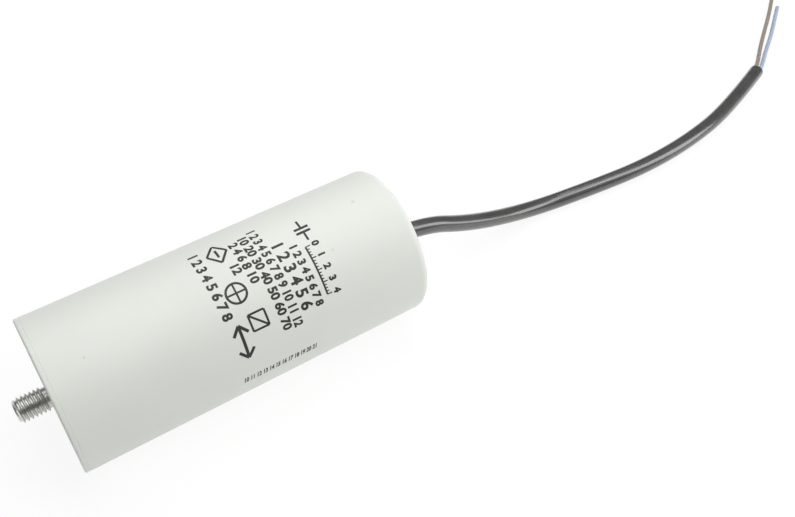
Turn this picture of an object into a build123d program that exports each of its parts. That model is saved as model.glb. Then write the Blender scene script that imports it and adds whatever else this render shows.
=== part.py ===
"""Motor run capacitor: a sealed roll of film in a moulded can, with a mounting stud and a cable.

The can lies on its side along X. The lid with the stud is at -X and the cable leaves at +X.
The origin is on the floor, under the middle of the body from the stud's tip to the cable end.
Stations are distances along the can, measured from the lid's outer face towards the cable.
"""
import os
from math import cos, pi, radians, sin

from build123d import *

# Can: a moulded cup, closed at the cable end
CAN_D = 50.0
BODY_L = 119.0
CAN_WALL = 1.5
CAN_END_WALL = 2.2
CAN_EDGE_R = 3.0
MOUTH_CHAMFER = 0.3
COLLAR_L = 2.5
COLLAR_WALL = 2.0
GUIDE_COUNT = 8
GUIDE_W = 1.4
GUIDE_L = 24.0
GUIDE_LEAD_IN = 5.0
GUIDE_GAP = 0.1

# Lid: flange, spigot in the can's mouth and a boss moulded round the screw's head
FLANGE_T = 1.5
FLANGE_EDGE_R = 0.6
SPIGOT_L = 7.0
SPIGOT_WALL = 1.8
SPIGOT_GAP = 0.1
SNAP_H = 0.35
SNAP_W = 1.6
SNAP_FROM_END = 1.6
SEAT_T = 4.0
BOSS_WALL = 2.4
BOSS_COVER = 1.5
BOSS_DRAFT = 0.6
GUSSET_COUNT = 6
GUSSET_T = 1.4
GUSSET_BOSS_H = 4.5
GUSSET_RIM_H = 1.5

# Mounting stud: a hexagon screw, moulded into the lid
STUD_D = 8.0
STUD_OUT = 10.0
STUD_TIP_CHAMFER = 1.0
NECK_D = 6.6
NECK_L = 0.6
HEAD_AF = 13.0
HEAD_T = 5.3

# Roll of film between two sprayed contacts
WRAP_T = 0.4
RESIN_T = 1.8
CORE_D = 10.0
CORE_WALL = 1.5
CONTACT_T = 0.6
SHIELD_T = 1.0
SHIELD_RIM_H = 4.0
SHIELD_RIM_W = 1.6
SHIELD_HOLE_D = 6.0

# Cable: a round sheath with two insulated cores
SHEATH_D = 6.0
SHEATH_GAP = 0.1
SHEATH_IN = 6.0
WIRE_D = 1.8
WIRE_PITCH = 2.0
COPPER_D = 0.9
COPPER_L = 5.0
TAIL_STRAIGHT = 3.5
LEAD_ROOM = 3.0
LEAD_BEND_R = 2.5
LEAD_REACH = 9.0
LEAD_LIFT = 0.3
SOLDER_D = 6.0
SOLDER_H = 2.8
SOLDER_EDGE_R = 2.2
FILLET_SHARE = 0.45

# Radii that follow from the driving sizes
CAN_R = CAN_D / 2
BORE_R = CAN_R - CAN_WALL
WRAP_R = BORE_R - RESIN_T
ROLL_R = WRAP_R - WRAP_T
CORE_R = CORE_D / 2
CORE_BORE_R = CORE_R - CORE_WALL
SPIGOT_R = BORE_R - SPIGOT_GAP
SPIGOT_BORE_R = SPIGOT_R - SPIGOT_WALL
SHEATH_R = SHEATH_D / 2
WIRE_R = WIRE_D / 2
CABLE_HOLE_R = SHEATH_R + SHEATH_GAP
COLLAR_R = CABLE_HOLE_R + COLLAR_WALL
HEAD_CORNER_R = HEAD_AF / 2 / cos(radians(30))
BOSS_R = HEAD_CORNER_R + BOSS_WALL

# Stations along the can
SPIGOT_END = FLANGE_T + SPIGOT_L
SNAP_AT = SPIGOT_END - SNAP_FROM_END
BOSS_END = SEAT_T + HEAD_T + BOSS_COVER
CAN_INNER_END = BODY_L - CAN_END_WALL
SHEATH_START = CAN_INNER_END - SHEATH_IN
CABLE_SHIELD_END = SHEATH_START - LEAD_ROOM
CABLE_CONTACT_END = CABLE_SHIELD_END - SHIELD_T - SHIELD_RIM_H
STUD_CONTACT_START = BOSS_END + SHIELD_T + SHIELD_RIM_H
ROLL_START = STUD_CONTACT_START + CONTACT_T
ROLL_END = CABLE_CONTACT_END - CONTACT_T

# Places in the frame
LID_X = -(BODY_L - STUD_OUT) / 2
EXIT_X = LID_X + BODY_L
AXIS_Z = CAN_R
CAN_AXIS = Axis((0, 0, AXIS_Z), (1, 0, 0))
SECTION = Plane(origin=(LID_X, 0, AXIS_Z), x_dir=(1, 0, 0), z_dir=(0, -1, 0))

# Sheath's route: distance past the can's end, sideways, and height of the centre line
SHEATH_ROUTE = [
    (EXIT_X - CAN_END_WALL - SHEATH_IN, 0, AXIS_Z),
    (EXIT_X + 11.5, 0, AXIS_Z),
    (EXIT_X + 34.5, -1.2, 13.6),
    (EXIT_X + 63.5, 0.6, SHEATH_R),
    (EXIT_X + 90.5, -2.6, SHEATH_R),
    (EXIT_X + 116.5, -4.7, SHEATH_R),
    (EXIT_X + 142.5, -3.1, SHEATH_R),
    (EXIT_X + 170.5, 2.7, SHEATH_R),
    (EXIT_X + 200.5, 14.6, SHEATH_R),
]
# The two wires' routes, from the sheath's end down to the floor and along it
BROWN_ROUTE = [
    (EXIT_X + 216.8, 27.0, 1.5),
    (EXIT_X + 229.6, 36.0, WIRE_R),
    (EXIT_X + 241.4, 44.1, WIRE_R),
    (EXIT_X + 252.4, 52.5, WIRE_R),
]
BLUE_ROUTE = [
    (EXIT_X + 216.5, 23.5, 1.5),
    (EXIT_X + 228.4, 31.1, WIRE_R),
    (EXIT_X + 239.0, 38.7, WIRE_R),
    (EXIT_X + 249.1, 46.0, WIRE_R),
]


def across(station):
    """Plane square to the can's axis at a station, facing the cable, with its Y upwards."""
    return Plane(origin=(LID_X + station, 0, AXIS_Z), x_dir=(0, 1, 0), z_dir=(1, 0, 0))


def turned(*outline):
    """Solid made by turning a closed outline of (station, radius) points round the can's axis."""
    with BuildPart(mode=Mode.PRIVATE) as solid:
        with BuildSketch(SECTION):
            with BuildLine():
                Polyline(*outline, close=True)
            make_face()
        revolve(axis=CAN_AXIS)
    return solid.part


def ring(start, end, inner_r, outer_r):
    """Plain tube or washer between two stations."""
    return turned((start, inner_r), (end, inner_r), (end, outer_r), (start, outer_r))


def finish(name, piece):
    """Name a finished piece and write it to its own file."""
    piece.part.label = name
    export_step(piece.part, f"parts/{name}.step")


def corner_radii(route):
    """Largest arc at each corner of a route that its two runs leave room for."""
    points = [Vector(*point) for point in route]
    radii = []
    for before, corner, after in zip(points, points[1:], points[2:]):
        run_in, run_out = corner - before, after - corner
        half_turn = radians(run_in.get_angle(run_out)) / 2
        shorter = min(run_in.length, run_out.length)
        radii.append(FILLET_SHARE * shorter * cos(half_turn) / sin(half_turn))
    return radii


def round_cord(name, route, diameter):
    """Round cord along straight runs joined by tangent arcs, with its sizes printed."""
    radii = corner_radii(route)
    with BuildPart(mode=Mode.PRIVATE) as cord:
        with BuildLine() as path:
            FilletPolyline(*route, radius=radii)
        with BuildSketch(Plane(origin=path.line @ 0, z_dir=path.line % 0)):
            Circle(diameter / 2)
        sweep()
    section = pi * diameter ** 2 / 4
    length = path.wires()[0].length
    print(f"{name}: length {length:.1f}, radii {[round(r) for r in radii]}, "
          f"volume over section times length {cord.part.volume / section / length:.4f}")
    return cord.part


os.makedirs("parts", exist_ok=True)

# Case: cup with a rounded closed end, a collar at the cable hole and guide ribs for the roll
with BuildPart() as case:
    with BuildSketch(SECTION) as case_wall:
        with BuildLine():
            Polyline(
                (FLANGE_T, CAN_R), (BODY_L, CAN_R), (BODY_L, CABLE_HOLE_R),
                (CAN_INNER_END - COLLAR_L, CABLE_HOLE_R), (CAN_INNER_END - COLLAR_L, COLLAR_R),
                (CAN_INNER_END, COLLAR_R), (CAN_INNER_END, BORE_R), (FLANGE_T, BORE_R), close=True)
        make_face()
        corners = case_wall.vertices()
        fillet(corners.sort_by_distance((BODY_L, CAN_R))[0], CAN_EDGE_R)
        fillet(corners.sort_by_distance((CAN_INNER_END, BORE_R))[0], CAN_EDGE_R - CAN_WALL)
        chamfer(corners.sort_by_distance((FLANGE_T, CAN_R))[0], MOUTH_CHAMFER)
        chamfer(corners.sort_by_distance((BODY_L, CABLE_HOLE_R))[0], MOUTH_CHAMFER)
    revolve(axis=CAN_AXIS)

    # groove in the mouth for the lid's snap bead
    add(ring(SNAP_AT - SNAP_W / 2, SNAP_AT + SNAP_W / 2, BORE_R - CAN_WALL, BORE_R + SNAP_H), mode=Mode.SUBTRACT)

    # guide ribs, sloped where the roll goes in
    with BuildPart(mode=Mode.PRIVATE) as guide:
        with BuildSketch(SECTION):
            with BuildLine():
                Polyline(
                    (CAN_INNER_END, BORE_R + CAN_WALL / 2), (CAN_INNER_END, WRAP_R + GUIDE_GAP),
                    (CAN_INNER_END - GUIDE_L + GUIDE_LEAD_IN, WRAP_R + GUIDE_GAP),
                    (CAN_INNER_END - GUIDE_L, BORE_R + CAN_WALL / 2), close=True)
            make_face()
        extrude(amount=GUIDE_W / 2, both=True)
    for step in range(GUIDE_COUNT):
        add(guide.part.rotate(CAN_AXIS, 360 * step / GUIDE_COUNT))
finish("case", case)

# Mounting stud: hexagon head inside the lid, shank, neck and a chamfered tip
with BuildPart() as mounting_stud:
    with BuildSketch(across(SEAT_T)):
        RegularPolygon(HEAD_CORNER_R, 6)
    extrude(amount=HEAD_T)
    add(turned(
        (-STUD_OUT, 0), (-STUD_OUT, STUD_D / 2 - STUD_TIP_CHAMFER), (STUD_TIP_CHAMFER - STUD_OUT, STUD_D / 2),
        (-NECK_L, STUD_D / 2), (-NECK_L, NECK_D / 2), (0, NECK_D / 2), (0, STUD_D / 2),
        (SEAT_T, STUD_D / 2), (SEAT_T, 0)))
finish("mounting_stud", mounting_stud)

# End cap: flange against the can's mouth, spigot with a snap bead, drafted boss and gussets
with BuildPart() as end_cap:
    with BuildSketch(SECTION) as cap_wall:
        with BuildLine():
            Polyline(
                (0, 0), (0, CAN_R), (FLANGE_T, CAN_R), (FLANGE_T, SPIGOT_R),
                (SNAP_AT - SNAP_W / 2, SPIGOT_R), (SNAP_AT, SPIGOT_R + SNAP_H), (SNAP_AT + SNAP_W / 2, SPIGOT_R),
                (SPIGOT_END, SPIGOT_R), (SPIGOT_END, SPIGOT_BORE_R), (FLANGE_T, SPIGOT_BORE_R),
                (FLANGE_T, BOSS_R + BOSS_DRAFT), (BOSS_END, BOSS_R), (BOSS_END, 0), close=True)
        make_face()
        rims = cap_wall.vertices()
        fillet(rims.sort_by_distance((0, CAN_R))[0], FLANGE_EDGE_R)
        chamfer(rims.sort_by_distance((FLANGE_T, CAN_R))[0], MOUTH_CHAMFER)
        chamfer(rims.sort_by_distance((SPIGOT_END, SPIGOT_R))[0], MOUTH_CHAMFER)
    revolve(axis=CAN_AXIS)

    # gussets from the boss down to the spigot
    with BuildPart(mode=Mode.PRIVATE) as gusset:
        with BuildSketch(SECTION):
            with BuildLine():
                Polyline(
                    (FLANGE_T / 2, BOSS_R - BOSS_WALL / 2), (FLANGE_T + GUSSET_BOSS_H, BOSS_R - BOSS_WALL / 2),
                    (FLANGE_T + GUSSET_RIM_H, SPIGOT_BORE_R + SPIGOT_WALL / 2),
                    (FLANGE_T / 2, SPIGOT_BORE_R + SPIGOT_WALL / 2), close=True)
            make_face()
        extrude(amount=GUSSET_T / 2, both=True)
    for step in range(GUSSET_COUNT):
        add(gusset.part.rotate(CAN_AXIS, 360 * step / GUSSET_COUNT))

    # the screw's shank and head leave their own hollow in the moulding
    with BuildSketch(across(SEAT_T)):
        RegularPolygon(HEAD_CORNER_R, 6)
    extrude(amount=HEAD_T, mode=Mode.SUBTRACT)
    add(turned((0, 0), (0, STUD_D / 2), (SEAT_T, STUD_D / 2), (SEAT_T, 0)), mode=Mode.SUBTRACT)
finish("end_cap", end_cap)

# Winding core: the tube that the film is wound on
with BuildPart() as winding_core:
    add(ring(ROLL_START, ROLL_END, CORE_BORE_R, CORE_R))
finish("winding_core", winding_core)

# Film winding: all the turns of metallised film as one roll
with BuildPart() as film_winding:
    add(ring(ROLL_START, ROLL_END, CORE_R, ROLL_R))
finish("film_winding", film_winding)

# Winding wrap: plain film round the roll
with BuildPart() as winding_wrap:
    add(ring(ROLL_START, ROLL_END, ROLL_R, WRAP_R))
finish("winding_wrap", winding_wrap)

# Sprayed contacts on the two faces of the roll
with BuildPart() as stud_side_contact:
    add(ring(STUD_CONTACT_START, ROLL_START, CORE_BORE_R, ROLL_R))
finish("stud_side_contact", stud_side_contact)

with BuildPart() as cable_side_contact:
    add(ring(ROLL_END, CABLE_CONTACT_END, CORE_BORE_R, ROLL_R))
finish("cable_side_contact", cable_side_contact)

# Shields: shallow insulating cups over the contacts, the cable side's with a hole for the leads
with BuildPart() as stud_side_shield:
    add(ring(BOSS_END, STUD_CONTACT_START, WRAP_R - SHIELD_RIM_W, WRAP_R))
    with BuildSketch(across(BOSS_END)):
        Circle(WRAP_R)
    extrude(amount=SHIELD_T)
finish("stud_side_shield", stud_side_shield)

with BuildPart() as cable_side_shield:
    add(ring(CABLE_CONTACT_END, CABLE_SHIELD_END, WRAP_R - SHIELD_RIM_W, WRAP_R))
    add(ring(CABLE_SHIELD_END - SHIELD_T, CABLE_SHIELD_END, SHIELD_HOLE_D / 2, WRAP_R))
finish("cable_side_shield", cable_side_shield)


def lead(side, contact_face, outwards):
    """Insulated lead from the cable's inner end to a contact, bent to run along its face."""
    offset = side * WIRE_PITCH / 2
    wire_x = LID_X + contact_face + outwards * (LEAD_LIFT + WIRE_R)
    start = (LID_X + SHEATH_START, offset, AXIS_Z)
    corner = (wire_x, offset, AXIS_Z)
    end = (wire_x, offset, AXIS_Z - side * LEAD_REACH)
    with BuildPart(mode=Mode.PRIVATE) as wire:
        with BuildLine() as path:
            FilletPolyline(start, corner, end, radius=LEAD_BEND_R)
        with BuildSketch(Plane(origin=path.line @ 0, z_dir=path.line % 0)):
            Circle(WIRE_R)
        sweep()
    return wire.part


def solder_joint(side, contact_face, outwards, wire):
    """Dome of solder over the end of a lead, with the lead's own hollow in it."""
    foot = (LID_X + contact_face, side * WIRE_PITCH / 2, AXIS_Z - side * LEAD_REACH)
    with BuildPart(mode=Mode.PRIVATE) as joint:
        with BuildSketch(Plane(origin=foot, z_dir=(outwards, 0, 0))):
            Circle(SOLDER_D / 2)
        extrude(amount=SOLDER_H)
        top_edge = joint.edges().sort_by(Axis(foot, (outwards, 0, 0)))[-1]
        fillet(top_edge, SOLDER_EDGE_R)
        add(wire, mode=Mode.SUBTRACT)
    return joint.part


# Leads and solder: the brown one to the near contact, the blue one through the core to the far one
with BuildPart() as brown_lead:
    add(lead(1, CABLE_CONTACT_END, 1))
finish("brown_lead", brown_lead)

with BuildPart() as blue_lead:
    add(lead(-1, STUD_CONTACT_START, -1))
finish("blue_lead", blue_lead)

with BuildPart() as brown_solder:
    add(solder_joint(1, CABLE_CONTACT_END, 1, brown_lead.part))
finish("brown_solder", brown_solder)

with BuildPart() as blue_solder:
    add(solder_joint(-1, STUD_CONTACT_START, -1, blue_lead.part))
finish("blue_solder", blue_solder)

# Potting resin: fills the can round the roll and behind the lid
with BuildPart() as potting_resin:
    add(turned(
        (FLANGE_T, 0), (FLANGE_T, SPIGOT_BORE_R), (SPIGOT_END, SPIGOT_BORE_R), (SPIGOT_END, BORE_R),
        (CAN_INNER_END, BORE_R), (CAN_INNER_END, 0)))
    add(ring(BOSS_END, CABLE_SHIELD_END, 0, WRAP_R), mode=Mode.SUBTRACT)
    add(turned(
        (SHEATH_START, 0), (SHEATH_START, SHEATH_R), (CAN_INNER_END, SHEATH_R), (CAN_INNER_END, 0)),
        mode=Mode.SUBTRACT)
    for neighbour in (case, end_cap, mounting_stud, brown_lead, blue_lead):
        add(neighbour.part, mode=Mode.SUBTRACT)
finish("potting_resin", potting_resin)

# Cable sheath: free cord from inside the can's end to where the wires come out
with BuildPart() as cable_sheath:
    add(round_cord("cable_sheath", SHEATH_ROUTE, SHEATH_D))
finish("cable_sheath", cable_sheath)


def tail_start(side):
    """First two points of a wire, side by side with the other one in the sheath's end."""
    last, before = Vector(*SHEATH_ROUTE[-1]), Vector(*SHEATH_ROUTE[-2])
    ahead = (last - before).normalized()
    sideways = Vector(-ahead.Y, ahead.X, 0) * side * WIRE_PITCH / 2
    start = last + sideways
    return [tuple(start), tuple(start + ahead * TAIL_STRAIGHT)]


def wire_tail(name, side, route):
    """Wire from the sheath to its cut end, and the copper that shows there."""
    points = tail_start(side) + route
    cut = Vector(*points[-1])
    inwards = (Vector(*points[-2]) - cut).normalized()
    with BuildPart(mode=Mode.PRIVATE) as copper:
        with BuildSketch(Plane(origin=cut, z_dir=inwards)):
            Circle(COPPER_D / 2)
        extrude(amount=COPPER_L)
    with BuildPart(mode=Mode.PRIVATE) as tail:
        add(round_cord(name, points, WIRE_D))
        add(copper.part, mode=Mode.SUBTRACT)
    return tail.part, copper.part


# Wires beyond the sheath: free cords with their copper flush at the cut
for colour, side, route in (("brown", 1, BROWN_ROUTE), ("blue", -1, BLUE_ROUTE)):
    insulation, conductor = wire_tail(f"{colour}_tail", side, route)
    with BuildPart() as wire:
        add(insulation)
    finish(f"{colour}_tail", wire)
    with BuildPart() as cut_copper:
        add(conductor)
    finish(f"{colour}_copper", cut_copper)
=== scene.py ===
"""Finish of a motor run capacitor: the satin white can, its threaded stud, its cable and its print."""

from math import cos, pi, radians, sin

import bmesh
import bpy
from bpy.props import FloatProperty, FloatVectorProperty, IntProperty, PointerProperty
from mathutils import Matrix, Vector


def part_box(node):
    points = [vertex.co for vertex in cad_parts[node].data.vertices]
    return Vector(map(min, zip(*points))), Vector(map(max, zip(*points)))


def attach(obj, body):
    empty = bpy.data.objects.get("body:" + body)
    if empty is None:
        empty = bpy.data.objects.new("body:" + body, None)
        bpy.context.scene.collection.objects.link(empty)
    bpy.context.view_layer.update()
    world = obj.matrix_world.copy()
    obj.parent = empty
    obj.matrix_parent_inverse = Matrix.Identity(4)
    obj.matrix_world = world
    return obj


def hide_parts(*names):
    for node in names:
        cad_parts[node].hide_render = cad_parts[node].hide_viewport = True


bl_info = {
    "name": "Motor Run Capacitor",
    "version": (1, 0, 0),
    "blender": (4, 5, 0),
    "location": "View3D > Sidebar > Capacitor",
    "description": "Makes the finished pieces of a round motor run capacitor and its stage",
    "category": "Add Mesh",
}

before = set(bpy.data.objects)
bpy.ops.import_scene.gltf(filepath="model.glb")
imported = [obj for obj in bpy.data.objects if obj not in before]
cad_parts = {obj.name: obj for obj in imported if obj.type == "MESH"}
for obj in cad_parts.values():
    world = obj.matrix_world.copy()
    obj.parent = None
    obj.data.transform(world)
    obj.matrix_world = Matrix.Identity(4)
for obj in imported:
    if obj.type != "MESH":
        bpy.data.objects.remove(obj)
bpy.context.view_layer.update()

MM = 0.001

# Places that come from the frame
CASE_LOW, CASE_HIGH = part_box("case")
LID_LOW, LID_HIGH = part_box("end_cap")
STUD_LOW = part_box("mounting_stud")[0]
CAN_R = (CASE_HIGH.z - CASE_LOW.z) / 2
AXIS_Z = CASE_LOW.z + CAN_R
LID_X = LID_LOW.x
EXIT_X = CASE_HIGH.x
BODY_L = EXIT_X - LID_X
STUD_OUT = LID_X - STUD_LOW.x
FLANGE_T = CASE_LOW.x - LID_X
BOSS_END = LID_HIGH.x - LID_X

# Routes of the sheath and the two wires, the same points as in the part
SHEATH_ROUTE = [
    (EXIT_X - 0.0082, 0, AXIS_Z), (EXIT_X + 0.0115, 0, AXIS_Z), (EXIT_X + 0.0345, -0.0012, 0.0136),
    (EXIT_X + 0.0635, 0.0006, 0.003), (EXIT_X + 0.0905, -0.0026, 0.003), (EXIT_X + 0.1165, -0.0047, 0.003),
    (EXIT_X + 0.1425, -0.0031, 0.003), (EXIT_X + 0.1705, 0.0027, 0.003), (EXIT_X + 0.2005, 0.0146, 0.003)]
BROWN_ROUTE = [
    (EXIT_X + 0.2168, 0.027, 0.0015), (EXIT_X + 0.2296, 0.036, 0.0009),
    (EXIT_X + 0.2414, 0.0441, 0.0009), (EXIT_X + 0.2524, 0.0525, 0.0009)]
BLUE_ROUTE = [
    (EXIT_X + 0.2165, 0.0235, 0.0015), (EXIT_X + 0.2284, 0.0311, 0.0009),
    (EXIT_X + 0.239, 0.0387, 0.0009), (EXIT_X + 0.2491, 0.046, 0.0009)]

# Camera: where it stands, how it looks down and round, and its lens
CAMERA_AT = (-0.0552, -0.1905, 0.2638)
CAMERA_DOWN = radians(47.96)
CAMERA_ROUND = radians(57.16)
CAMERA_LENS = 43.77

# Stage: the world's light, the floor, and each lamp's name, place, aim, width and height, and power
WORLD_LIGHT = 0.18
FLOOR_REACH = 4
FLOOR_WHITE = 0.9
FLOOR_GLOW = 0.17
FLOOR_SEEN_AS_WHITE = 0.87
LAMPS = (
    ("back_light", (0.22, 0.38, 0.77), (0.02, 0, 0.02), (0.8, 0.8), 3.3),
    ("top_light", (0.25, -0.16, 0.8), (0.02, 0, 0.02), (0.8, 0.8), 3.6),
    ("side_light", (0.785, -0.475, 0.46), (0.18, 0, 0), (0.38, 0.85), 2.7))

# Specks on the can: station in millimetres, angle from the top in degrees, and radius in millimetres
SPECKS = ((105.1, 1.5, 0.9), (90.9, 29.6, 0.6), (12.4, 25.4, 0.6))

# Gap between the lid's spigot and the can
SPIGOT_GAP = 0.1 * MM

# Metric thread: its depth, and where a tooth leaves the root, reaches the crest and leaves it, in pitches
THREAD_DEPTH = 0.613
TOOTH_RISES = 0.22
TOOTH_CREST = 0.53
TOOTH_FALLS = 0.67
THREAD_RUN_OUT = 1.2
SPARE_TURNS = 2

# Print laid flat, in millimetres: a point's first number goes round the can from its top to the front,
# and its second goes along the can from the lid. Each line has its points, and its width in strokes.
PLATE_LINES = (
    (((1.9, 83.3), (1.9, 88.1)), 1.5), (((3.5, 83.3), (3.5, 88.1)), 1.5),
    (((-1.4, 85.7), (1.9, 85.7)), 1.2), (((3.5, 85.7), (6.8, 85.7)), 1.2))
RING_MIDDLE, RING_RADIUS, RING_WIDTH = (12.6, 58.3), 3.1, 1.2
SYMBOL_LINES = (
    (((-6.4, 59.4), (-2.4, 62.6), (1.6, 59.4), (-2.4, 56.2), (-6.4, 59.4)), 1.3),
    (((20, 58.4), (25.2, 58.4), (25.2, 63.6), (20, 63.6), (20, 58.4), (25.2, 63.6)), 1.1),
    (((-4.1, 59.4), (-0.7, 59.4)), 1.3),
    (((9.5, 58.3), (15.7, 58.3)), 1.0), (((12.6, 55.2), (12.6, 61.4)), 1.0),
    (((21.6, 54.6), (32.4, 54.6)), 1.6), (((24.4, 52.2), (21.6, 54.6), (24.4, 57)), 1.6),
    (((29.6, 52.2), (32.4, 54.6), (29.6, 57)), 1.6))

# Ruled scale: where it starts, its ticks a millimetre apart, every fourth one long, and its numbers
SCALE_START, SCALE_STATION = 8.6, 83.6
SCALE_LENGTH, TICKS_PER_MARK = 16, 4
LONG_TICK, SHORT_TICK, TICK_WIDTH = 1.6, 0.9, 0.6
MARK_SIZE, MARK_STATION = 3.1, 86.9

# Rows of numbers round the can: name, words, size, middle, and how much narrower they are
ROWS = (
    ("printed_row_a", "1 2 3 4 5 6 7 8", 3.5, (16.4, 80.2), 1),
    ("printed_row_b", "1 2 3 4 5 6", 5.3, (14.6, 76.1), 1),
    ("printed_row_c", "1 2 3 4 5 6 7 8 9 10 11 12", 3.9, (11.9, 71.9), 0.88),
    ("printed_row_d", "10 20 30 40 50 60 70", 3.9, (12.2, 68.3), 1.02),
    ("printed_row_e", "2 4 6 8 10", 3.9, (4.2, 64.9), 1),
    ("printed_row_f", "1 2 3 4 5 6 7 8", 4.3, (6.2, 52.7), 1),
    ("printed_row_g", "12", 3.9, (5.6, 61.6), 1))
SMALL_ROW = "10 11 12 13 14 15 16 17 18 19 20 21"
SMALL_SIZE, SMALL_ANGLE, SMALL_STATION = 3, radians(94.7), 63.8
SMALL_SLANT, SMALL_WEIGHT, SMALL_SQUEEZE = 0.2, 0.8, 0.56


def length_prop(name, description, default):
    """A size in metres, shown in the file's own unit."""
    return FloatProperty(
        name=name, description=description, default=default, min=0, unit="LENGTH", precision=5)


def colour_prop(name, description, default):
    """A linear colour without alpha."""
    return FloatVectorProperty(
        name=name, description=description, default=default, subtype="COLOR", size=3, min=0, max=1)


class CanSettings(bpy.types.PropertyGroup):
    """Sizes and colours of the moulded can and its lid."""
    wall: length_prop("Wall", "Thickness of the can's side wall", 1.5 * MM)
    end_wall: length_prop("End wall", "Thickness of the closed end", 2.2 * MM)
    edge_radius: length_prop("Edge radius", "Rounding of the closed end's rim", 3 * MM)
    seam: length_prop("Seam", "Chamfer on both sides of the seam between lid and can", 0.1 * MM)
    flange_edge: length_prop("Flange edge", "Rounding of the lid's outer rim", 0.6 * MM)
    cable_hole: length_prop("Cable hole", "Radius of the hole for the cable", 3.1 * MM)
    collar_wall: length_prop("Collar wall", "Wall of the collar round the cable hole", 2 * MM)
    collar_length: length_prop("Collar length", "Depth of the collar inside the closed end", 2.5 * MM)
    spigot_depth: length_prop("Spigot depth", "How far the lid reaches into the can", 7 * MM)
    spigot_wall: length_prop("Spigot wall", "Wall of the lid's spigot", 1.8 * MM)
    boss_radius: length_prop("Boss radius", "Outside of the boss round the screw's head", 9.9 * MM)
    steps: IntProperty(name="Steps", description="Faces round the can", default=224, min=24, max=512)
    plastic: colour_prop("Plastic", "White of the moulded plastic", (0.768, 0.79, 0.738))


class StudSettings(bpy.types.PropertyGroup):
    """Sizes and colours of the mounting stud."""
    radius: length_prop("Radius", "Outside of the thread", 4 * MM)
    pitch: length_prop("Pitch", "Distance from one turn to the next", 1.25 * MM)
    neck_radius: length_prop("Neck radius", "Plain neck against the lid", 3.3 * MM)
    neck_length: length_prop("Neck length", "Length of the plain neck", 0.6 * MM)
    chamfer: length_prop("Chamfer", "Chamfer on the tip", 1 * MM)
    head_width: length_prop("Head width", "Across the flats of the hexagon head", 13 * MM)
    head_height: length_prop("Head height", "Thickness of the hexagon head", 5.3 * MM)
    seat: length_prop("Seat", "From the lid's face to the head", 4 * MM)
    steps: IntProperty(
        name="Steps", description="Faces in each turn of the thread", default=72, min=12, max=192)
    steel: colour_prop("Steel", "Zinc plated steel", (0.7, 0.7, 0.675))


class CableSettings(bpy.types.PropertyGroup):
    """Sizes and colours of the cable and its two wires."""
    sheath: length_prop("Sheath", "Diameter of the sheath", 6 * MM)
    wire: length_prop("Wire", "Diameter of an insulated wire", 1.8 * MM)
    pitch: length_prop("Wire pitch", "Distance between the two wires in the sheath", 2 * MM)
    straight: length_prop("Straight", "How far the wires run on before they bend", 3.5 * MM)
    sheath_length: length_prop("Sheath length", "Length of the sheath from inside the can", 0.2157)
    brown_length: length_prop("Brown length", "Length of the brown wire past the sheath", 0.0642)
    blue_length: length_prop("Blue length", "Length of the blue wire past the sheath", 0.0582)
    strand: length_prop("Strand", "Diameter of a copper strand", 0.18 * MM)
    black: colour_prop("Sheath colour", "Black sheath", (0.039, 0.041, 0.038))
    brown: colour_prop("Brown", "Brown insulation", (0.3, 0.262, 0.216))
    blue: colour_prop("Blue", "Blue insulation", (0.385, 0.455, 0.6))


class PrintSettings(bpy.types.PropertyGroup):
    """Sizes and colour of the generic print on the can."""
    thickness: length_prop("Thickness", "How far the ink stands out", 0.02 * MM)
    stroke: length_prop("Stroke", "Width of the drawn lines", 0.6 * MM)
    weight: length_prop("Weight", "How much bolder the numbers are", 0.17 * MM)
    ink: colour_prop("Ink", "Dark grey of the ink", (0.024, 0.026, 0.024))


class Socket:
    """A node's socket that takes part in sums, so that a pattern reads as an expression."""

    def __init__(self, recipe, link):
        self.recipe = recipe
        self.link = link

    def _maths(self, operation, first, second):
        node = self.recipe.node("ShaderNodeMath", {"operation": operation}, {0: first, 1: second})
        return self.recipe.out(node, 0)

    def __add__(self, other):
        return self._maths("ADD", self, other)

    def __radd__(self, other):
        return self._maths("ADD", other, self)

    def __sub__(self, other):
        return self._maths("SUBTRACT", self, other)

    def __rsub__(self, other):
        return self._maths("SUBTRACT", other, self)

    def __mul__(self, other):
        return self._maths("MULTIPLY", self, other)

    def __rmul__(self, other):
        return self._maths("MULTIPLY", other, self)


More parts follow.
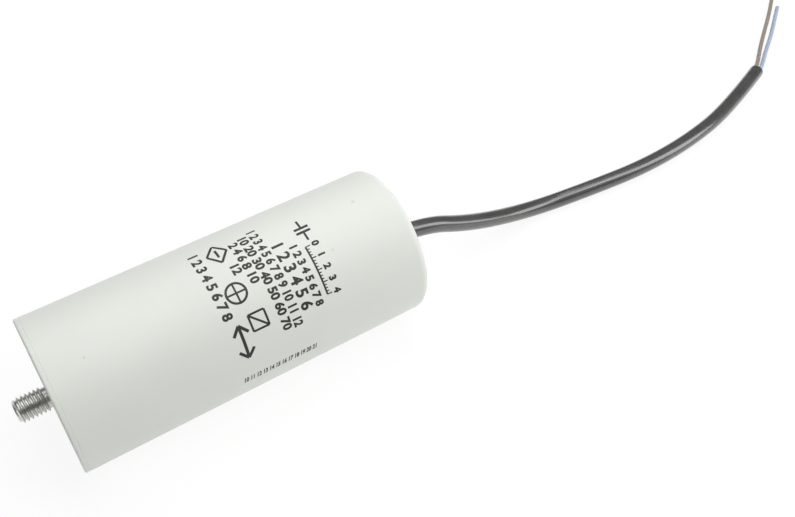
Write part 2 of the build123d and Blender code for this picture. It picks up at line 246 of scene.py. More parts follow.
class Recipe:
    """One material: its shader, its patterns and the links between them."""

    def __init__(self, name, **constants):
        self.material = bpy.data.materials.new(f"{name}_finish")
        self.material.use_nodes = True
        self.tree = self.material.node_tree
        self.tree.nodes.clear()
        self.output = self.node("ShaderNodeOutputMaterial", {}, {})
        self.shader = self.node("ShaderNodeBsdfPrincipled", {}, constants)
        self.surface(self.out(self.shader, "BSDF"))
        self.place = self.out(self.node("ShaderNodeTexCoord", {}, {}), "Object")

    def node(self, kind, settings, inputs):
        """Adds a node, sets it up first, and then gives its sockets values or links."""
        node = self.tree.nodes.new(kind)
        for setting, value in settings.items():
            setattr(node, setting, value)
        for key, value in inputs.items():
            if isinstance(value, Socket):
                self.tree.links.new(value.link, node.inputs[key])
            elif isinstance(value, tuple) and len(value) == 3 and node.inputs[key].type == "RGBA":
                node.inputs[key].default_value = (*value, 1.0)
            else:
                node.inputs[key].default_value = value
        return node

    def out(self, node, key):
        """One of a node's outputs, ready for sums."""
        return Socket(self, node.outputs[key])

    def surface(self, socket):
        """What the material shows."""
        self.tree.links.new(socket.link, self.output.inputs["Surface"])

    def feed(self, key, value):
        """Links a pattern to one of the shader's sockets."""
        self.tree.links.new(value.link, self.shader.inputs[key])

    def stretched(self, along, around):
        """Object coordinates scaled along the can's axis and across it."""
        node = self.node("ShaderNodeMapping", {}, {"Vector": self.place, "Scale": (along, around, around)})
        return self.out(node, "Vector")

    def centred(self):
        """Object coordinates measured from the can's axis."""
        node = self.node("ShaderNodeMapping", {}, {"Vector": self.place, "Location": (0, 0, -AXIS_Z)})
        return self.out(node, "Vector")

    def noise(self, scale, detail=4.0, place=None):
        """Soft cloudy pattern from 0 to 1."""
        node = self.node("ShaderNodeTexNoise", {"noise_dimensions": "3D"}, {
            "Vector": place or self.place, "Scale": scale, "Detail": detail, "Roughness": 0.55})
        return self.out(node, "Fac")

    def cells(self, scale):
        """Distance to the nearest of many scattered points."""
        node = self.node("ShaderNodeTexVoronoi", {"feature": "F1"}, {
            "Vector": self.place, "Scale": scale, "Randomness": 1.0})
        return self.out(node, "Distance")

    def step(self, value, low, high):
        """0 below low, 1 above high and smooth between."""
        node = self.node("ShaderNodeMapRange", {"interpolation_type": "SMOOTHSTEP"}, {
            "Value": value, "From Min": low, "From Max": high})
        return self.out(node, "Result")

    def near(self, point, radius):
        """1 at a point of the object, fading to 0 at a radius."""
        node = self.node("ShaderNodeVectorMath", {"operation": "DISTANCE"}, {0: self.place, 1: point})
        return 1.0 - self.step(self.out(node, "Value"), radius * 0.35, radius)

    def mix(self, factor, first, second):
        """Blends two colours by a factor."""
        node = self.node("ShaderNodeMix", {"data_type": "RGBA"}, {0: factor, 6: first, 7: second})
        return self.out(node, 2)

    def bump(self, height, distance):
        """Raises the surface by a pattern."""
        node = self.node("ShaderNodeBump", {}, {"Height": height, "Distance": distance, "Strength": 1.0})
        self.feed("Normal", self.out(node, "Normal"))


def shade(colour, factor):
    """A colour made lighter or darker."""
    return tuple(min(1.0, part * factor) for part in colour)


def on_can(station, angle, height=0.0):
    """Point on the can at a station from the lid's face and an angle from the top towards the front."""
    reach = CAN_R + height
    return LID_X + station, -reach * sin(angle), AXIS_Z + reach * cos(angle)


def finish_of(name):
    """The finish of that name, as made by this script."""
    return bpy.data.materials[f"{name}_finish"]


def moulded_white(colour):
    """Satin moulded plastic: faint clouding, fine grain and three small specks."""
    recipe = Recipe("moulded_white", **{"IOR": 1.5, "Coat Weight": 0.05, "Coat Roughness": 0.4})
    clouds = recipe.noise(28, detail=3.0)
    flow = recipe.noise(90, detail=2.0, place=recipe.stretched(0.25, 1.0))
    tone = recipe.mix(recipe.step(clouds, 0.3, 0.7), shade(colour, 0.985), shade(colour, 1.01))
    first, second, third = (
        recipe.near(on_can(station * MM, radians(angle)), radius * MM) for station, angle, radius in SPECKS)
    recipe.feed("Base Color", recipe.mix((first + second + third) * 0.2, tone, (0.25, 0.24, 0.21)))
    recipe.feed("Roughness", 0.5 + recipe.noise(160) * 0.1 + flow * 0.05)
    grain = recipe.noise(2600, detail=2.0)
    recipe.bump(grain * 0.35 + flow * 0.65, 0.00004)
    return recipe.material


def plated_steel(colour):
    """Zinc plated steel: bright, slightly mottled, with fine turning marks."""
    recipe = Recipe("plated_steel", **{"Metallic": 1.0})
    mottle = recipe.noise(900, detail=5.0)
    tone = recipe.mix(recipe.step(mottle, 0.35, 0.7), shade(colour, 0.86), shade(colour, 1.06))
    recipe.feed("Base Color", tone)
    recipe.feed("Roughness", 0.22 + mottle * 0.16)
    marks = recipe.noise(5200, detail=2.0, place=recipe.stretched(1.0, 0.3))
    recipe.bump(marks, 0.00003)
    return recipe.material


def extruded_sheath(colour):
    """Black cable sheath: glossy, with faint drawing marks and dust."""
    recipe = Recipe("extruded_sheath", **{
        "IOR": 1.53, "Coat Weight": 1.0, "Coat Roughness": 0.15, "Coat IOR": 1.75})
    clouds = recipe.noise(220, detail=4.0)
    dust = 1.0 - recipe.step(recipe.cells(620), 0.05, 0.13)
    sparse = recipe.step(recipe.noise(60, detail=1.0), 0.52, 0.66)
    tone = recipe.mix(recipe.step(clouds, 0.3, 0.7), shade(colour, 0.85), shade(colour, 1.2))
    recipe.feed("Base Color", recipe.mix(dust * sparse * 0.18, tone, (0.3, 0.3, 0.29)))
    recipe.feed("Roughness", 0.34 + clouds * 0.12)
    drawn = recipe.noise(1400, detail=3.0, place=recipe.stretched(0.06, 1.0))
    recipe.bump(drawn, 0.00002)
    return recipe.material


def insulation(name, colour):
    """Thin coloured wire insulation, glossy with a little wear."""
    recipe = Recipe(name, **{"IOR": 1.53})
    clouds = recipe.noise(700, detail=3.0)
    recipe.feed("Base Color", recipe.mix(clouds, shade(colour, 0.85), shade(colour, 1.15)))
    recipe.feed("Roughness", 0.3 + clouds * 0.2)
    recipe.bump(recipe.noise(2600, detail=2.0), 0.00002)
    return recipe.material


def pad_ink(name, colour):
    """Printed ink: even, with tiny pinholes and slightly matt."""
    recipe = Recipe(name)
    pinholes = 1.0 - recipe.step(recipe.cells(2400), 0.06, 0.16)
    tone = recipe.mix(recipe.noise(500), shade(colour, 0.8), shade(colour, 1.35))
    recipe.feed("Base Color", recipe.mix(pinholes * 0.5, tone, (0.4, 0.41, 0.39)))
    recipe.feed("Roughness", 0.5 + recipe.noise(900) * 0.15)
    return recipe.material


def bare_metal(name, colour, rough, scale):
    """Bare metal with a mottled surface, for the copper, the solder and the sprayed contacts."""
    recipe = Recipe(name, **{"Metallic": 1.0})
    mottle = recipe.noise(scale, detail=5.0)
    recipe.feed("Base Color", recipe.mix(mottle, shade(colour, 0.75), shade(colour, 1.2)))
    recipe.feed("Roughness", rough - 0.1 + mottle * 0.2)
    recipe.bump(mottle, 0.00008)
    return recipe.material


def plain_plastic(name, colour, rough, scale):
    """Moulded or cast plastic of the pieces inside the can."""
    recipe = Recipe(name)
    clouds = recipe.noise(scale, detail=3.0)
    recipe.feed("Base Color", recipe.mix(clouds, shade(colour, 0.9), shade(colour, 1.08)))
    recipe.feed("Roughness", rough - 0.08 + clouds * 0.16)
    recipe.bump(recipe.noise(scale * 6, detail=2.0), 0.00005)
    return recipe.material


def wound_film(colour):
    """The roll's end faces and side: fine rings where the turns show."""
    recipe = Recipe("wound_film", **{"Roughness": 0.45})
    turns = recipe.out(recipe.node(
        "ShaderNodeTexWave", {"wave_type": "RINGS", "rings_direction": "X"},
        {"Vector": recipe.centred(), "Scale": 900.0, "Distortion": 0.4, "Detail": 2.0}), "Fac")
    recipe.feed("Base Color", recipe.mix(turns, shade(colour, 0.8), shade(colour, 1.1)))
    recipe.bump(turns, 0.00004)
    return recipe.material


def settle(bm, name, material, sharp=35, smooth=True):
    """Turns a finished bmesh into a piece that rides on the part, with sharp edges kept crisp."""
    bm.normal_update()
    for face in bm.faces:
        face.smooth = smooth
    for edge in bm.edges:
        edge.smooth = edge.calc_face_angle(0.0) < radians(sharp)
    mesh = bpy.data.meshes.new(name)
    bm.to_mesh(mesh)
    bm.free()
    piece = bpy.data.objects.new(name, mesh)
    mesh.materials.append(material)
    bpy.context.scene.collection.objects.link(piece)
    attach(piece, "root")
    return piece


def merge_and_turn_out(bm, distance=1e-6):
    """Merges doubles and points the faces outwards."""
    bmesh.ops.remove_doubles(bm, verts=bm.verts[:], dist=distance)
    bmesh.ops.recalc_face_normals(bm, faces=bm.faces[:])


def turned(outline, steps):
    """Closed shell made by spinning an outline of (station, radius) round the can's axis."""
    bm = bmesh.new()
    corners = [bm.verts.new((LID_X + station, 0, AXIS_Z + radius)) for station, radius in outline]
    sides = [bm.edges.new(pair) for pair in zip(corners, corners[1:] + corners[:1])]
    bmesh.ops.spin(
        bm, geom=corners + sides, cent=(0, 0, AXIS_Z), axis=(1, 0, 0), angle=2 * pi, steps=steps,
        use_merge=True)
    merge_and_turn_out(bm)
    return bm


def rim(bm, station, radius):
    """Edges of the rim at a station and a radius."""
    def on_rim(vertex):
        reach = Vector((vertex.co.y, vertex.co.z - AXIS_Z)).length
        return abs(vertex.co.x - LID_X - station) < 1e-6 and abs(reach - radius) < 1e-6
    return [edge for edge in bm.edges if all(on_rim(vertex) for vertex in edge.verts)]


def round_rim(bm, station, radius, width, segments):
    """Rounds or chamfers one rim of a turned shell."""
    bmesh.ops.bevel(
        bm, geom=rim(bm, station, radius), offset=width, offset_type="OFFSET", segments=segments,
        profile=0.5, affect="EDGES", material=-1)


class CAPACITOR_OT_case(bpy.types.Operator):
    """Make the moulded can with its rounded end and cable hole"""
    bl_idname = "capacitor.case"
    bl_label = "Case"

    def execute(self, context):
        can = context.scene.capacitor_can
        bore = CAN_R - can.wall
        inner_end = BODY_L - can.end_wall
        collar = can.cable_hole + can.collar_wall
        bm = turned([
            (FLANGE_T, CAN_R), (BODY_L, CAN_R), (BODY_L, can.cable_hole),
            (inner_end - can.collar_length, can.cable_hole), (inner_end - can.collar_length, collar),
            (inner_end, collar), (inner_end, bore), (FLANGE_T, bore)], can.steps)
        round_rim(bm, BODY_L, CAN_R, can.edge_radius, segments=10)
        round_rim(bm, inner_end, bore, can.edge_radius - can.wall, segments=4)
        round_rim(bm, FLANGE_T, CAN_R, can.seam, segments=1)
        round_rim(bm, BODY_L, can.cable_hole, can.seam, segments=2)
        piece = settle(bm, "moulded_can", finish_of("moulded_white"))
        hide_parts("case")
        return {"FINISHED"}


class CAPACITOR_OT_lid(bpy.types.Operator):
    """Make the lid with its flange, spigot and boss"""
    bl_idname = "capacitor.lid"
    bl_label = "Lid"

    def execute(self, context):
        can, stud = context.scene.capacitor_can, context.scene.capacitor_stud
        spigot = CAN_R - can.wall - SPIGOT_GAP
        spigot_end = FLANGE_T + can.spigot_depth
        head_start, head_end, head_r = stud.seat, stud.seat + stud.head_height, stud.head_width / 2
        bm = turned([
            (0, stud.radius), (0, CAN_R), (FLANGE_T, CAN_R), (FLANGE_T, spigot), (spigot_end, spigot),
            (spigot_end, spigot - can.spigot_wall), (FLANGE_T, spigot - can.spigot_wall),
            (FLANGE_T, can.boss_radius), (BOSS_END, can.boss_radius), (BOSS_END, 0), (head_end, 0),
            (head_end, head_r), (head_start, head_r), (head_start, stud.radius)], can.steps)
        round_rim(bm, 0, CAN_R, can.flange_edge, segments=5)
        round_rim(bm, FLANGE_T, CAN_R, can.seam, segments=1)
        piece = settle(bm, "moulded_lid", finish_of("moulded_white"))
        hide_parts("end_cap")
        return {"FINISHED"}


class CAPACITOR_OT_stud(bpy.types.Operator):
    """Make the mounting stud with its rolled thread and hexagon head"""
    bl_idname = "capacitor.stud"
    bl_label = "Mounting stud"

    def execute(self, context):
        stud = context.scene.capacitor_stud
        bm = self.thread(stud)
        self.head_and_shank(bm, stud)
        merge_and_turn_out(bm)
        piece = settle(bm, "threaded_stud", finish_of("plated_steel"), sharp=28)
        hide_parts("mounting_stud")
        return {"FINISHED"}

    def thread(self, stud):
        """Outline of one tooth after another, wound round the axis by a spin that also advances."""
        root, crest = stud.radius - THREAD_DEPTH * stud.pitch, stud.radius
        tooth = ((0, root), (TOOTH_RISES, root), (TOOTH_CREST, crest), (TOOTH_FALLS, crest))
        turns = int(STUD_OUT / stud.pitch) + SPARE_TURNS + 1
        start = -STUD_OUT - SPARE_TURNS * stud.pitch
        bm = bmesh.new()
        corners = []
        for turn in range(turns):
            foot = start + turn * stud.pitch
            for share, radius in tooth:
                corners.append(bm.verts.new((LID_X + foot + share * stud.pitch, 0, AXIS_Z + radius)))
        sides = [bm.edges.new(pair) for pair in zip(corners, corners[1:])]
        bmesh.ops.spin(
            bm, geom=corners + sides, cent=(0, 0, AXIS_Z), axis=(1, 0, 0), angle=2 * pi, steps=stud.steps,
            dvec=(stud.pitch / stud.steps, 0, 0), use_merge=False)
        bmesh.ops.remove_doubles(bm, verts=bm.verts[:], dist=1e-6)
        self.trim(bm, stud)
        return bm

    def trim(self, bm, stud):
        """Cuts the thread at the tip and the neck, and tapers both ends of it."""
        tip, neck = -STUD_OUT, -stud.neck_length
        for station, facing in ((tip, -1), (neck, 1)):
            bmesh.ops.bisect_plane(
                bm, geom=bm.verts[:] + bm.edges[:] + bm.faces[:], dist=1e-7,
                plane_co=(LID_X + station, 0, 0), plane_no=(facing, 0, 0), clear_outer=True)
        for vertex in bm.verts:
            station = vertex.co.x - LID_X
            reach = Vector((vertex.co.y, vertex.co.z - AXIS_Z))
            at_tip = stud.radius - stud.chamfer + (station - tip)
            at_neck = stud.neck_radius + (neck - station) * THREAD_RUN_OUT
            limit = min(reach.length, at_tip, at_neck)
            reach *= limit / reach.length
            vertex.co.y, vertex.co.z = reach.x, AXIS_Z + reach.y
        open_edges = [edge for edge in bm.edges if edge.is_boundary]
        bmesh.ops.holes_fill(bm, edges=open_edges, sides=0)

    def head_and_shank(self, bm, stud):
        """Neck and shank through the lid's wall, and the hexagon head behind it."""
        into_thread, into_lid, round_faces = 0.3 * MM, 0.2 * MM, 64
        head_corner = stud.head_width / 2 / cos(radians(30))
        for radius, start, end, faces in (
                (stud.neck_radius, -stud.neck_length - into_thread, into_lid, round_faces),
                (stud.radius, 0, stud.seat, round_faces),
                (head_corner, stud.seat, stud.seat + stud.head_height, 6)):
            middle = Matrix.Translation((LID_X + (start + end) / 2, 0, AXIS_Z))
            bmesh.ops.create_cone(
                bm, cap_ends=True, segments=faces, radius1=radius, radius2=radius, depth=end - start,
                matrix=middle @ Matrix.Rotation(pi / 2, 4, "Y"))


def cord_curve(name, route, diameter, material):
    """Smooth round cord along a route."""
    curve = bpy.data.curves.new(name, "CURVE")
    curve.dimensions = "3D"
    curve.resolution_u = 24
    curve.bevel_depth = diameter / 2
    curve.bevel_resolution = 10
    curve.use_fill_caps = True
    spline = curve.splines.new("NURBS")
    spline.points.add(len(route) - 1)
    for point, place in zip(spline.points, route):
        point.co = (*place, 1.0)
    spline.order_u = 3
    spline.use_endpoint_u = True
    curve.materials.append(material)
    piece = bpy.data.objects.new(name, curve)
    bpy.context.scene.collection.objects.link(piece)
    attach(piece, "root")
    return piece


def wire_route(cable, side, route):
    """A wire's whole route, from its place in the sheath's end."""
    last, before = Vector(SHEATH_ROUTE[-1]), Vector(SHEATH_ROUTE[-2])
    ahead = (last - before).normalized()
    start = last + Vector((-ahead.y, ahead.x, 0)) * side * cable.pitch / 2
    return [tuple(start), tuple(start + ahead * cable.straight)] + route


class CAPACITOR_OT_sheath(bpy.types.Operator):
    """Make the black cable sheath"""
    bl_idname = "capacitor.sheath"
    bl_label = "Cable sheath"

    def execute(self, context):
        cable = context.scene.capacitor_cable
        piece = cord_curve("sheath", SHEATH_ROUTE, cable.sheath, finish_of("extruded_sheath"))
        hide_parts("cable_sheath")
        return {"FINISHED"}


class CAPACITOR_OT_wires(bpy.types.Operator):
    """Make the brown and the blue wire and their cut copper"""
    bl_idname = "capacitor.wires"
    bl_label = "Wires"

    def execute(self, context):
        cable = context.scene.capacitor_cable
        for colour, side, route, length in (
                ("brown", 1, BROWN_ROUTE, cable.brown_length), ("blue", -1, BLUE_ROUTE, cable.blue_length)):
            points = wire_route(cable, side, route)
            wire = cord_curve(f"{colour}_wire", points, cable.wire, finish_of(f"{colour}_insulation"))
            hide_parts(f"{colour}_tail")
            copper = self.strands(f"{colour}_strands", points, cable)
            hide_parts(f"{colour}_copper")
        return {"FINISHED"}

    def strands(self, name, points, cable):
        """One strand in the middle and two rings of strands round it, just proud of the cut."""
        cut, before = Vector(points[-1]), Vector(points[-2])
        ahead = (cut - before).normalized()
        across = Vector((-ahead.y, ahead.x, 0))
        upright = ahead.cross(across)
        depth, proud = 3 * MM, 0.25 * MM
        bm = bmesh.new()
        for ring, count in ((0, 1), (1, 6), (2, 12)):
            for step in range(count):
                turn = 2 * pi * step / count
                offset = (across * cos(turn) + upright * sin(turn)) * ring * cable.strand
                middle = cut + offset + ahead * (proud - depth / 2)
                place = Matrix.Translation(middle) @ ahead.to_track_quat("Z", "Y").to_matrix().to_4x4()
                bmesh.ops.create_cone(
                    bm, cap_ends=True, segments=10, radius1=cable.strand / 2, radius2=cable.strand / 2,
                    depth=depth, matrix=place)
        return settle(bm, name, finish_of("cut_copper"))


def in_metres(place):
    """A flat point that was given in millimetres."""
    return tuple(part * MM for part in place)


def wrap_on_can(bm, thickness):
    """Wraps flat print round the can: X is the way round, Y the station, Z from the back to the face."""
    for vertex in bm.verts:
        height = thickness if vertex.co.z > 0 else -thickness
        vertex.co = on_can(vertex.co.y, vertex.co.x / CAN_R, height)


def cut_in_strips(bm, width=0.8 * MM):
    """Cuts flat print into strips along the can, so that it can follow the curve."""
    reach = [vertex.co.x for vertex in bm.verts]
    line = min(reach) + width
    while line < max(reach):
        bmesh.ops.bisect_plane(
            bm, geom=bm.verts[:] + bm.edges[:] + bm.faces[:], dist=1e-7,
            plane_co=(line, 0, 0), plane_no=(1, 0, 0))
        line += width


def thicken(bm, faces):
    """Gives flat faces a back, so that they become a closed plate."""
    result = bmesh.ops.extrude_face_region(bm, geom=faces)
    front = [part for part in result["geom"] if isinstance(part, bmesh.types.BMVert)]
    bmesh.ops.translate(bm, verts=front, vec=(0, 0, MM))


def stripe(bm, start, end, width):
    """Straight line between two flat points."""
    start, end = Vector(start), Vector(end)
    along = end - start
    made = bmesh.ops.create_grid(bm, x_segments=24, y_segments=1, size=0.5)
    faces = {face for vertex in made["verts"] for face in vertex.link_faces}
    sideways = Vector((-along.y, along.x)).normalized()
    for vertex in made["verts"]:
        share = vertex.co.x + 0.5
        place = start + along * share + sideways * vertex.co.y * width
        vertex.co = (place.x, place.y, 0)
    thicken(bm, list(faces))


def hoop(bm, middle, radius, width):
    """Flat ring round a flat point."""
    inner = bm.verts.new((middle[0] + radius - width / 2, middle[1], 0))
    outer = bm.verts.new((middle[0] + radius + width / 2, middle[1], 0))
    edge = bm.edges.new((inner, outer))
    made = bmesh.ops.spin(
        bm, geom=[inner, outer, edge], cent=(*middle, 0), axis=(0, 0, 1), angle=2 * pi, steps=48,
        use_merge=True)
    ends = [part for part in made["geom_last"] if isinstance(part, bmesh.types.BMVert)]
    ends += [vertex for vertex in (inner, outer) if vertex.is_valid]
    faces = {face for vertex in ends for face in vertex.link_faces}
    ring = set(faces)
    while faces:
        faces = {other for face in faces for edge in face.edges for other in edge.link_faces} - ring
        ring |= faces
    thicken(bm, list(ring))


def numbers(words, size, place, weight, turn=0.0, slant=0.0, squeeze=1.0):
    """Plain numbers as flat print round a place, bolder by a weight and narrower by a factor."""
    curve = bpy.data.curves.new("numbers", "FONT")
    curve.body, curve.size, curve.shear, curve.offset = words, size, slant, weight
    curve.align_x, curve.align_y = "CENTER", "CENTER"
    curve.resolution_u = 3
    curve.extrude = MM
    holder = bpy.data.objects.new("numbers", curve)
    bpy.context.scene.collection.objects.link(holder)
    bpy.context.view_layer.update()
    mesh = bpy.data.meshes.new_from_object(holder)
    bm = bmesh.new()
    bm.from_mesh(mesh)
    bpy.data.objects.remove(holder)
    bpy.data.curves.remove(curve)
    bpy.data.meshes.remove(mesh)
    bmesh.ops.remove_doubles(bm, verts=bm.verts[:], dist=1e-7)
    narrow = Matrix.Diagonal((squeeze, 1, 1, 1))
    turned_there = Matrix.Translation((*place, 0)) @ Matrix.Rotation(turn, 4, "Z")
    bmesh.ops.transform(bm, verts=bm.verts[:], matrix=turned_there @ narrow)
    return bm


def printed(name, bm, thickness, material):
    """Finishes a flat print: strips, wrap and piece."""
    cut_in_strips(bm)
    wrap_on_can(bm, thickness)
    merge_and_turn_out(bm, 1e-8)
    return settle(bm, name, finish_of(material), smooth=False)


class CAPACITOR_OT_print(bpy.types.Operator):
    """Print a generic scale, symbols and counting numbers round the can"""
    bl_idname = "capacitor.print"
    bl_label = "Print"

    def execute(self, context):
        settings = context.scene.capacitor_print
        self.symbols(settings)
        self.scale(settings)
        self.rows(settings)
        return {"FINISHED"}

    def lines(self, bm, table, stroke):
        """Draws each line of a table through its points."""
        for points, width in table:
            for start, end in zip(points, points[1:]):
                stripe(bm, in_metres(start), in_metres(end), stroke * width)

    def symbols(self, settings):
        """Two plates with their leads, a diamond, a ring and a square with lines in them, and an arrow."""
        bm = bmesh.new()
        self.lines(bm, PLATE_LINES, settings.stroke)
        hoop(bm, in_metres(RING_MIDDLE), RING_RADIUS * MM, settings.stroke * RING_WIDTH)
        self.lines(bm, SYMBOL_LINES, settings.stroke)
        printed("printed_symbols", bm, settings.thickness, "pad_ink")

    def scale(self, settings):
        """A ruled scale with longer ticks at its plain numbers."""
        bm = bmesh.new()
        start, end = (SCALE_START, SCALE_STATION), (SCALE_START + SCALE_LENGTH, SCALE_STATION)
        stripe(bm, in_metres(start), in_metres(end), settings.stroke)
        for tick in range(SCALE_LENGTH + 1):
            reach = SHORT_TICK if tick % TICKS_PER_MARK else LONG_TICK
            foot, top = (SCALE_START + tick, SCALE_STATION), (SCALE_START + tick, SCALE_STATION + reach)
            stripe(bm, in_metres(foot), in_metres(top), settings.stroke * TICK_WIDTH)
        printed("printed_scale", bm, settings.thickness, "pad_ink")
        for step in range(SCALE_LENGTH // TICKS_PER_MARK + 1):
            place = in_metres((SCALE_START + TICKS_PER_MARK * step, MARK_STATION))
            mark = numbers(str(step), MARK_SIZE * MM, place, settings.weight)
            printed(f"printed_mark_{step}", mark, settings.thickness, "pad_ink")

    def rows(self, settings):
        """Rows of counting numbers, as on a month dial, and the small row along the can."""
        for name, words, size, place, squeeze in ROWS:
            row = numbers(words, size * MM, in_metres(place), settings.weight, squeeze=squeeze)
            printed(name, row, settings.thickness, "pad_ink")
        small_place = (SMALL_ANGLE * CAN_R, SMALL_STATION * MM)
        small = numbers(
            SMALL_ROW, SMALL_SIZE * MM, small_place, settings.weight * SMALL_WEIGHT, turn=pi / 2,
            slant=SMALL_SLANT, squeeze=SMALL_SQUEEZE)
        printed("printed_small_row", small, settings.thickness, "jet_ink")


class CAPACITOR_OT_inner_pieces(bpy.types.Operator):
    """Give the pieces inside the can their finishes"""
    bl_idname = "capacitor.inner_pieces"
    bl_label = "Inner pieces"

    def execute(self, context):
        finishes = {
            "winding_core": "core_plastic", "film_winding": "wound_film", "winding_wrap": "wrap_film",
            "stud_side_contact": "sprayed_zinc", "cable_side_contact": "sprayed_zinc",
            "stud_side_shield": "shield_plastic", "cable_side_shield": "shield_plastic",
            "brown_lead": "brown_insulation", "blue_lead": "blue_insulation",
            "brown_solder": "solder", "blue_solder": "solder", "potting_resin": "cast_resin"}
        for node, finish in finishes.items():
            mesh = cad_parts[node].data
            mesh.materials.clear()
            mesh.materials.append(finish_of(finish))
        return {"FINISHED"}


class CAPACITOR_OT_materials(bpy.types.Operator):
    """Make every finish of the capacitor"""
    bl_idname = "capacitor.materials"
    bl_label = "Finishes"

    def execute(self, context):
        scene = context.scene
        moulded_white(tuple(scene.capacitor_can.plastic))
        plated_steel(tuple(scene.capacitor_stud.steel))
        extruded_sheath(tuple(scene.capacitor_cable.black))
        insulation("brown_insulation", tuple(scene.capacitor_cable.brown))
        insulation("blue_insulation", tuple(scene.capacitor_cable.blue))
        pad_ink("pad_ink", tuple(scene.capacitor_print.ink))
        pad_ink("jet_ink", shade(tuple(scene.capacitor_print.ink), 1.8))
        bare_metal("cut_copper", (0.75, 0.42, 0.26), rough=0.35, scale=2500)
        bare_metal("solder", (0.70, 0.70, 0.71), rough=0.3, scale=900)
        bare_metal("sprayed_zinc", (0.50, 0.50, 0.50), rough=0.7, scale=1800)
        plain_plastic("core_plastic", (0.72, 0.72, 0.70), rough=0.5, scale=300)
        plain_plastic("wrap_film", (0.80, 0.80, 0.77), rough=0.3, scale=200)
        plain_plastic("shield_plastic", (0.78, 0.78, 0.75), rough=0.5, scale=300)
        plain_plastic("cast_resin", (0.05, 0.05, 0.055), rough=0.35, scale=240)
        wound_film((0.62, 0.64, 0.68))
        return {"FINISHED"}


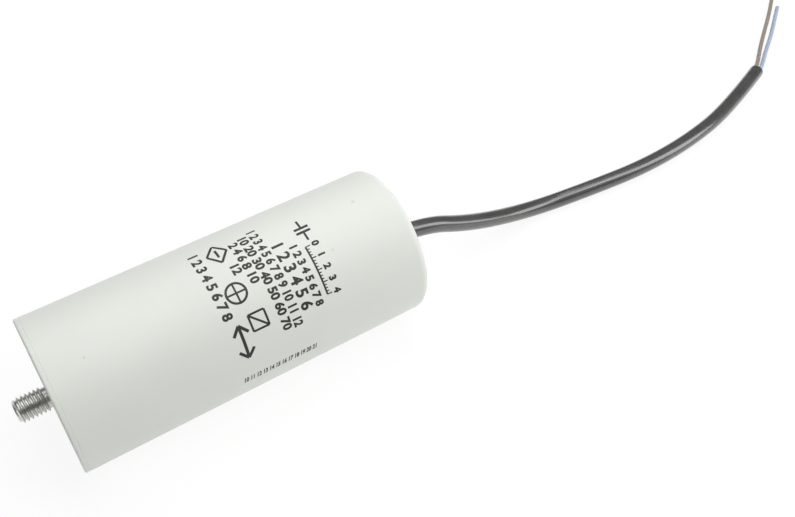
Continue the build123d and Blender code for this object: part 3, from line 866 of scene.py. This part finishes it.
class CAPACITOR_OT_stage(bpy.types.Operator):
    """Make the floor, the soft lights and the camera"""
    bl_idname = "capacitor.stage"
    bl_label = "Stage"

    def execute(self, context):
        self.floor()
        self.lights(context)
        self.camera(context)
        return {"FINISHED"}

    def floor(self):
        """Pale floor that keeps a soft shadow and reads as white where nothing shades it."""
        bm = bmesh.new()
        bmesh.ops.create_grid(bm, x_segments=1, y_segments=1, size=FLOOR_REACH)
        mesh = bpy.data.meshes.new("floor")
        bm.to_mesh(mesh)
        bm.free()
        floor = bpy.data.objects.new("floor", mesh)
        bpy.context.scene.collection.objects.link(floor)
        recipe = Recipe("floor_white", **{
            "Base Color": (FLOOR_WHITE,) * 3, "Roughness": 0.9,
            "Emission Color": (1.0, 1.0, 1.0), "Emission Strength": FLOOR_GLOW})
        ray = recipe.node("ShaderNodeLightPath", {}, {})
        seen = recipe.out(ray, "Is Camera Ray") * FLOOR_SEEN_AS_WHITE + recipe.out(ray, "Is Glossy Ray")
        glow = recipe.node("ShaderNodeEmission", {}, {"Color": (1.0, 1.0, 1.0), "Strength": 1.0})
        both = recipe.node("ShaderNodeMixShader", {}, {
            0: seen, 1: recipe.out(recipe.shader, "BSDF"), 2: recipe.out(glow, 0)})
        recipe.surface(recipe.out(both, 0))
        mesh.materials.append(recipe.material)

    def lights(self, context):
        """Soft world light, two large lamps above, and a low one at the side that streaks the sheath."""
        world = bpy.data.worlds.new("studio")
        world.use_nodes = True
        background = world.node_tree.nodes["Background"]
        background.inputs["Color"].default_value = (1, 1, 1, 1)
        background.inputs["Strength"].default_value = WORLD_LIGHT
        context.scene.world = world
        for name, place, aim, size, power in LAMPS:
            lamp = bpy.data.lights.new(name, "AREA")
            lamp.shape, lamp.size, lamp.size_y, lamp.energy = "ELLIPSE", *size, power
            light = bpy.data.objects.new(name, lamp)
            light.location = place
            light.rotation_euler = (Vector(aim) - Vector(place)).to_track_quat("-Z", "Y").to_euler()
            context.scene.collection.objects.link(light)

    def camera(self, context):
        """Camera at the photograph's viewing angle."""
        data = bpy.data.cameras.new("camera")
        data.lens = CAMERA_LENS
        data.clip_start, data.clip_end = 0.01, 20
        camera = bpy.data.objects.new("camera", data)
        camera.location = CAMERA_AT
        ahead = Vector((
            cos(CAMERA_DOWN) * cos(CAMERA_ROUND), cos(CAMERA_DOWN) * sin(CAMERA_ROUND), -sin(CAMERA_DOWN)))
        camera.rotation_euler = ahead.to_track_quat("-Z", "Y").to_euler()
        context.scene.collection.objects.link(camera)
        context.scene.camera = camera
        context.scene.view_settings.view_transform = "Standard"


class CAPACITOR_PT_panel(bpy.types.Panel):
    """Sidebar panel with the settings and the makers"""
    bl_label = "Motor run capacitor"
    bl_idname = "CAPACITOR_PT_panel"
    bl_space_type = "VIEW_3D"
    bl_region_type = "UI"
    bl_category = "Capacitor"

    def draw(self, context):
        for group in (context.scene.capacitor_can, context.scene.capacitor_stud,
                      context.scene.capacitor_cable, context.scene.capacitor_print):
            box = self.layout.box()
            for name in group.__annotations__:
                box.prop(group, name)
        for operator in OPERATORS:
            self.layout.operator(operator.bl_idname)


GROUPS = {
    "capacitor_can": CanSettings, "capacitor_stud": StudSettings,
    "capacitor_cable": CableSettings, "capacitor_print": PrintSettings}
OPERATORS = [
    CAPACITOR_OT_materials, CAPACITOR_OT_case, CAPACITOR_OT_lid, CAPACITOR_OT_stud, CAPACITOR_OT_sheath,
    CAPACITOR_OT_wires, CAPACITOR_OT_print, CAPACITOR_OT_inner_pieces, CAPACITOR_OT_stage]


def register():
    """Registers the settings, the operators and the panel."""
    for name, group in GROUPS.items():
        bpy.utils.register_class(group)
        setattr(bpy.types.Scene, name, PointerProperty(type=group))
    for item in OPERATORS + [CAPACITOR_PT_panel]:
        bpy.utils.register_class(item)


def unregister():
    """Takes them all away again."""
    for item in [CAPACITOR_PT_panel] + OPERATORS[::-1]:
        bpy.utils.unregister_class(item)
    for name, group in GROUPS.items():
        delattr(bpy.types.Scene, name)
        bpy.utils.unregister_class(group)


def main():
    """Makes the whole scene."""
    register()
    bpy.ops.capacitor.materials()
    bpy.ops.capacitor.case()
    bpy.ops.capacitor.lid()
    bpy.ops.capacitor.stud()
    bpy.ops.capacitor.sheath()
    bpy.ops.capacitor.wires()
    bpy.ops.capacitor.print()
    bpy.ops.capacitor.inner_pieces()
    bpy.ops.capacitor.stage()


if __name__ == "__main__":
    main()
